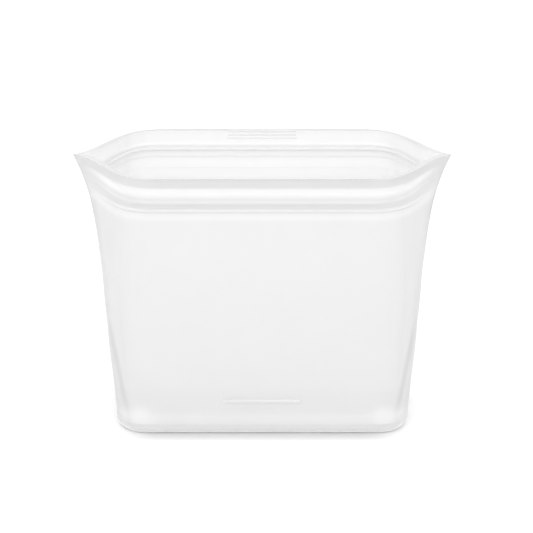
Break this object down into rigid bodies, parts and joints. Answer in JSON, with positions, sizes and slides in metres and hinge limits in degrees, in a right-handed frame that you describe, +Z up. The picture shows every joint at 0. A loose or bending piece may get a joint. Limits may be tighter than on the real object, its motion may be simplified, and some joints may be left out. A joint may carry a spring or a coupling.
{
  "type": "reusable silicone bag",
  "caption": "Stand-up food storage bag in frosted silicone with a flat base, folded side gussets, a flared mouth, a press-together zip and a pull wing at each end.",
  "frame": {"origin": "middle of the base on the surface that the bag stands on", "axes": "+X along the mouth from the left wing to the right wing, +Y from the front wall to the rear wall, +Z up to the mouth"},
  "size_m": [0.1842, 0.07, 0.1382],
  "materials": {
    "silicone_skin": "frosted translucent white silicone, smooth matte",
    "silicone_thick": "frosted translucent white silicone, thicker section, satin",
    "silicone_ribs": "frosted translucent white silicone, moulded ribs, satin"
  },
  "bodies": {
    "pouch_base": {"floor_panel": "silicone_thick", "base_rim": "silicone_thick", "left_gusset": "silicone_skin", "right_gusset": "silicone_skin", "left_wing": "silicone_thick", "right_wing": "silicone_thick", "front_left_lip_end": "silicone_skin", "front_left_zip_end": "silicone_thick", "front_right_lip_end": "silicone_skin", "front_right_zip_end": "silicone_thick", "rear_left_lip_end": "silicone_skin", "rear_left_zip_end": "silicone_thick", "rear_right_lip_end": "silicone_skin", "rear_right_zip_end": "silicone_thick", "front_left_channel_end": "silicone_ribs", "front_right_channel_end": "silicone_ribs", "rear_left_bead_end": "silicone_ribs", "rear_right_bead_end": "silicone_ribs"},
    "front_panel": {"front_wall": "silicone_skin", "front_zip_band": "silicone_thick", "front_lip": "silicone_skin", "front_zip_channel": "silicone_ribs", "front_bar": "silicone_ribs"},
    "rear_panel": {"rear_wall": "silicone_skin", "rear_zip_band": "silicone_thick", "rear_lip": "silicone_skin", "rear_zip_bead": "silicone_ribs", "rear_grip_ribs": "silicone_ribs"}
  },
  "joints": [
    {"name": "front_wall_close", "type": "hinge", "parent": "pouch_base", "child": "front_panel", "pos_m": [0, -0.02925, 0.0065], "axis": [-1, 0, 0], "range_deg": [0, 13.6], "stiffness_Nm_per_rad": 0.5},
    {"name": "rear_wall_close", "type": "hinge", "parent": "pouch_base", "child": "rear_panel", "pos_m": [0, 0.02925, 0.0065], "axis": [1, 0, 0], "range_deg": [0, 13.6], "stiffness_Nm_per_rad": 0.5}
  ],
  "couplings": [
    {"joint": "rear_wall_close", "follows": "front_wall_close", "ratio": 1}
  ]
}
